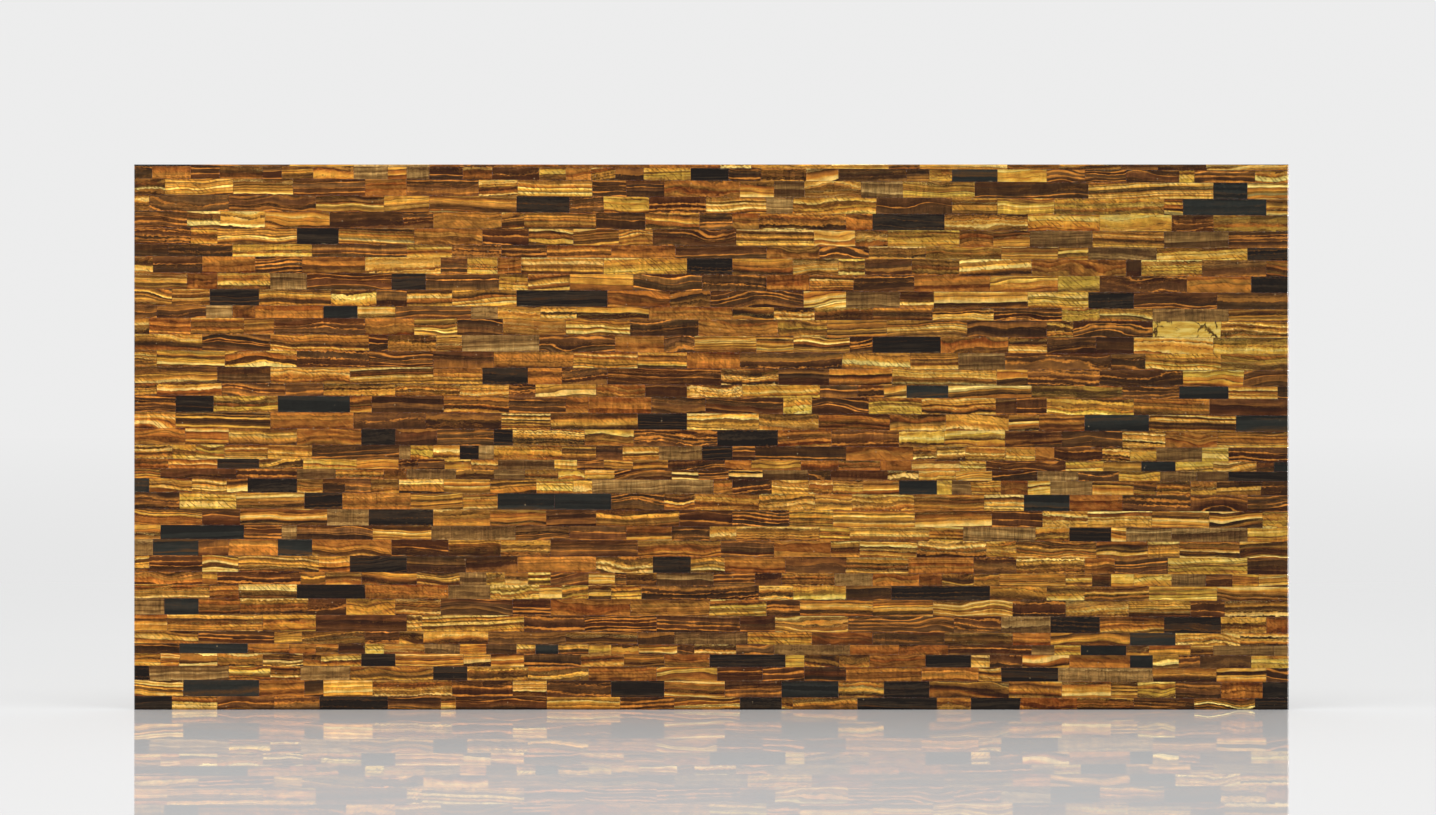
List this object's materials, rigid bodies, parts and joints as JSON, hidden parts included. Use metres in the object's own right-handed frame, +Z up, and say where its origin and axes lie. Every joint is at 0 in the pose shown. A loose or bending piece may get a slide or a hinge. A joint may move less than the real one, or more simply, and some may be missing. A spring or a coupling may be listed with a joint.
{
  "type": "polished tiger's eye composite slab",
  "caption": "Polished rectangular slab of sawn tiger's eye blocks laid end to end in level courses, standing upright on one long edge.",
  "frame": {"origin": "middle of the long edge that the slab stands on: mid length and mid thickness, on the floor", "axes": "+X along the length, to the right as the polished face is seen; +Y from the polished face to the back; +Z up"},
  "size_m": [3.05, 0.02, 1.44],
  "materials": {
    "tigers_eye": "polished",
    "resin": "gloss"
  },
  "bodies": {
    "root": {"course_01": "tigers_eye", "course_02": "tigers_eye", "course_03": "tigers_eye", "course_04": "tigers_eye", "course_05": "tigers_eye", "course_06": "tigers_eye", "course_07": "tigers_eye", "course_08": "tigers_eye", "course_09": "tigers_eye", "course_10": "tigers_eye", "course_11": "tigers_eye", "course_12": "tigers_eye", "course_13": "tigers_eye", "course_14": "tigers_eye", "course_15": "tigers_eye", "course_16": "tigers_eye", "course_17": "tigers_eye", "course_18": "tigers_eye", "course_19": "tigers_eye", "course_20": "tigers_eye", "course_21": "tigers_eye", "course_22": "tigers_eye", "course_23": "tigers_eye", "course_24": "tigers_eye", "course_25": "tigers_eye", "course_26": "tigers_eye", "course_27": "tigers_eye", "course_28": "tigers_eye", "course_29": "tigers_eye", "course_30": "tigers_eye", "course_31": "tigers_eye", "course_32": "tigers_eye", "course_33": "tigers_eye", "course_34": "tigers_eye", "course_35": "tigers_eye", "course_36": "tigers_eye", "course_37": "tigers_eye", "course_38": "tigers_eye"}
  },
  "joints": []
}
